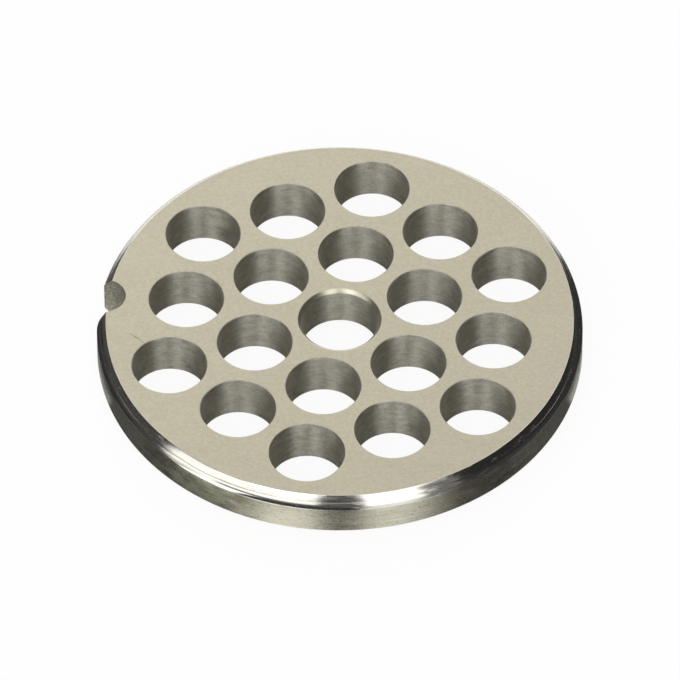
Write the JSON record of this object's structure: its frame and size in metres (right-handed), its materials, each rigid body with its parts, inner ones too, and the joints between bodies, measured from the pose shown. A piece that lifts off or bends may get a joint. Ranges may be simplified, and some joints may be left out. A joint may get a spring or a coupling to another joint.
{
  "type": "meat grinder plate",
  "caption": "Round steel grinder plate with coarse round feed holes in a hexagonal pattern, a chamfered centre bore, a bevelled rim and a key notch.",
  "frame": {"origin": "on the axis of the centre bore, at the lower (seating) face", "axes": "+Z out of the upper cutting face along the bore's axis; -X through the middle of the key notch"},
  "size_m": [0.0824, 0.0824, 0.0082],
  "materials": {
    "ground_steel": "ground faces, turned rim, drilled holes"
  },
  "bodies": {
    "root": {"grinder_plate": "ground_steel"}
  },
  "joints": []
}
